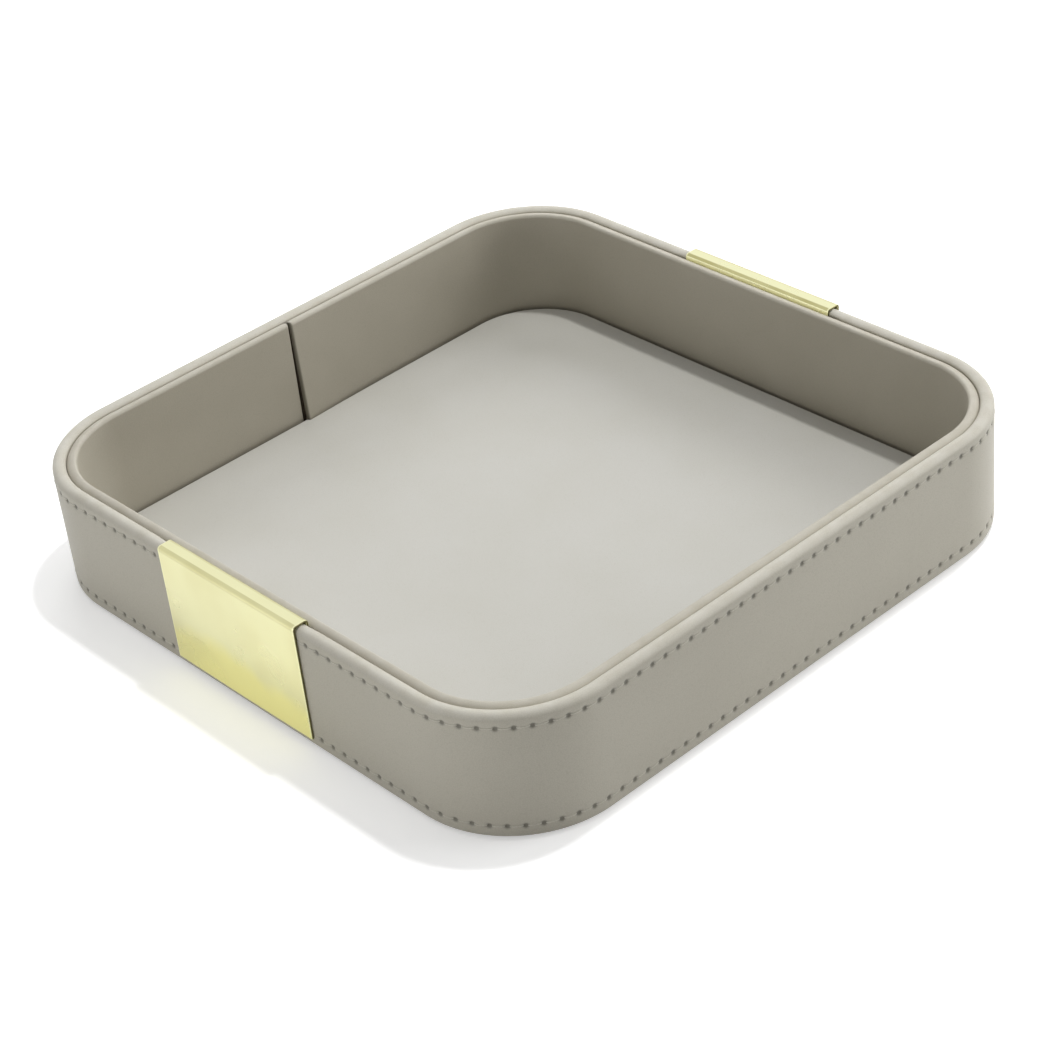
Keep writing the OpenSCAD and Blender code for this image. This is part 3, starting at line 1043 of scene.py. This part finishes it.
def makeClip(name, node, side):
    low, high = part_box(node)
    outerX = low.x if side < 0 else high.x
    length = high.y - low.y
    section, bendReflection, topHighlight = clipSection(low.z, high.z, high.x - low.x, side)
    shape = bmesh.new()
    bendReflectionMark = shape.verts.layers.float.new("bend")
    topHighlightMark = shape.verts.layers.float.new("topHighlight")
    nearSide = [run / length for run in clipSheet["sideStations"]]
    between = list(np.linspace(nearSide[-1], 1 - nearSide[-1], clipSheet["stations"] - 1))[1:-1]
    rows = []
    for station in nearSide + between + [1 - share for share in reversed(nearSide)]:
        y = low.y + length * station
        atSide = min(station, 1 - station) * length < clipSheet["sideStations"][2] - clipSheet["slack"]
        loop = []
        for place, (across, z) in enumerate(section):
            onFace = across <= clipSheet["thickness"] + clipSheet["slack"]
            drop = (high.z - z) / (high.z - low.z) if onFace else 0.0
            curl = clipSheet["curl"] * (2 * station - 1) ** 2 * math.sin(math.pi * drop / 2)
            corner = shape.verts.new((outerX - side * (across + curl), y, z))
            corner[bendReflectionMark] = bendReflection[place]
            # painted highlight: full near the cut ends, elsewhere the section's share
            corner[topHighlightMark] = 1.0 if atSide else topHighlight[place]
            loop.append(corner)
        rows.append(loop)
    joinLoops(shape, rows)
    # the sheet's cut ends, a quad for each pair of points across its thickness
    half = len(section) // 2
    for loop in (rows[0], rows[-1]):
        for i in range(half - 1):
            shape.faces.new((loop[i], loop[i + 1], loop[-i - 2], loop[-i - 1])).material_index = 1
    mesh = meshFrom(shape, name)
    piece = newObject(name, mesh)
    mesh.materials.append(materials["brass"])
    mesh.materials.append(materials["cutBrass"])
    tidyMesh(piece, sharpAngle=35)
    softened = piece.modifiers.new("softEdge", "BEVEL")
    softened.width = clipSheet["edgeRound"]
    softened.segments = 2
    softened.limit_method = "ANGLE"
    softened.angle_limit = math.radians(clipSheet["softAngle"])
    finishPiece(piece, "brass", node)


makeClip("left_clip_sheet", "left_clip", -1)
makeClip("right_clip_sheet", "right_clip", 1)

# Boards and card stay the CAD's own solids
carriedOver = {"outer_core": "fibreboard", "inner_core": "fibreboard", "base_board": "fibreboard",
               "floor_board": "card", "bottom_card": "card"}
for node, slot in carriedOver.items():
    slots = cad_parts[node].data.materials
    slots.clear()
    slots.append(materials[slot])
print("boards dressed:", len(carriedOver))


# Stage, light and camera

stage = {
    "floorColour": (0.80, 0.80, 0.80),
    "floorRoughness": 0.9,
    "floorSpecular": 0.1,
    "floorSize": 6.0,
    "floorGlow": 0.45,  # seen by the camera only, near the tray
    "farGlow": 1.0,  # and where the lamps no longer reach
    "nearReach": 0.5,
    "farReach": 1.6,
    "mirroredGlow": 0.3,  # seen in reflections only
    "backdrop": 1.0,
    "mirroredBackdrop": 0.9,
}


# Strength for what the camera sees and for what reflections show, and no diffuse light
def seenStrength(tree, direct, mirrored):
    path = addNode(tree, "ShaderNodeLightPath").outputs
    inMirror = calc(tree, "MAXIMUM", path["Is Glossy Ray"], path["Is Transmission Ray"])
    return calc(tree, "MAXIMUM", calc(tree, "MULTIPLY", path["Is Camera Ray"], direct),
                calc(tree, "MULTIPLY", inMirror, mirrored))


def makeStage():
    material, tree, shader, place = newMaterial("studioFloor")
    away = vectorCalc(tree, "LENGTH", {0: place}, "Value")
    direct = mapped(tree, away, stage["nearReach"], stage["farReach"], stage["floorGlow"], stage["farGlow"])
    setInputs(tree, shader, {"Base Color": (*stage["floorColour"], 1),
                             "Roughness": stage["floorRoughness"],
                             "Specular IOR Level": stage["floorSpecular"],
                             "Emission Color": (1, 1, 1, 1),
                             "Emission Strength": seenStrength(tree, direct, stage["mirroredGlow"])})
    half = stage["floorSize"] / 2
    mesh = bpy.data.meshes.new("studio_floor")
    mesh.from_pydata([(-half, -half, 0), (half, -half, 0), (half, half, 0), (-half, half, 0)], [],
                     [(0, 1, 2, 3)])
    mesh.materials.append(material)
    newObject("studio_floor", mesh)
    world = bpy.data.worlds.new("studioAir")
    world.use_nodes = True
    air = world.node_tree
    strength = seenStrength(air, stage["backdrop"], stage["mirroredBackdrop"])
    setInputs(air, air.nodes["Background"], {"Color": (1, 1, 1, 1), "Strength": strength})
    bpy.context.scene.world = world


lamps = {
    "key": {"from": (0.39, -0.05, 1.38), "size": 0.07, "power": 8.3, "mirrored": False},
    "overhead": {"from": (0.0, 0.0, 1.0), "size": 1.0, "power": 4.2, "mirrored": False},
    "right": {"from": (0.9, -0.75, 0.45), "size": 0.7, "power": 6.3, "mirrored": True},
    "side": {"from": (1.1, 0.1, 0.8), "size": 0.7, "power": 3.4, "mirrored": False},
    "back": {"from": (0.7, 0.85, 0.8), "size": 0.7, "power": 5.5, "mirrored": False},
    "left": {"from": (-1.1, 0.35, 0.13), "size": 0.3, "power": 2.1, "mirrored": True},
    "leftFront": {"from": (-1.1, -0.25, 0.13), "size": 0.3, "power": 1.7, "mirrored": True},
}
lampTarget = Vector((0, 0, 0.02))


def makeLamps():
    for name, lamp in lamps.items():
        light = bpy.data.lights.new(name + "Light", "AREA")
        light.shape = "SQUARE"
        light.size = lamp["size"]
        light.energy = lamp["power"]
        holder = newObject(name + "Light", light)
        holder.location = lamp["from"]
        holder.visible_glossy = lamp["mirrored"]
        aim = lampTarget - holder.location
        holder.rotation_euler = aim.to_track_quat("-Z", "Y").to_euler()


camera = {
    "target": Vector((-14.90, -16.04, 19.26)) * mm,
    "azimuth": math.radians(-39.743),
    "elevation": math.radians(33.884),
    "roll": math.radians(-6.553),
    "distance": 725.44 * mm,
    "lens": 90.65,
    "clipStart": 0.01,
}


def makeCamera():
    turn, rise, roll = camera["azimuth"], camera["elevation"], camera["roll"]
    back = Vector((math.sin(turn) * math.cos(rise), -math.cos(turn) * math.cos(rise), math.sin(rise)))
    right = (-back).cross(Vector((0, 0, 1))).normalized()
    up = right.cross(-back)
    rolledRight = right * math.cos(roll) + up * math.sin(roll)
    rolledUp = up * math.cos(roll) - right * math.sin(roll)
    lens = bpy.data.cameras.new("photoCamera")
    lens.lens = camera["lens"]
    lens.clip_start = camera["clipStart"]
    holder = newObject("photoCamera", lens)
    axes = Matrix((rolledRight, rolledUp, back)).transposed().to_4x4()
    holder.matrix_world = Matrix.Translation(camera["target"] + back * camera["distance"]) @ axes
    bpy.context.scene.camera = holder


makeStage()
makeLamps()
makeCamera()
bpy.context.scene.view_settings.view_transform = "Standard"
print("stage, lamps and camera set")
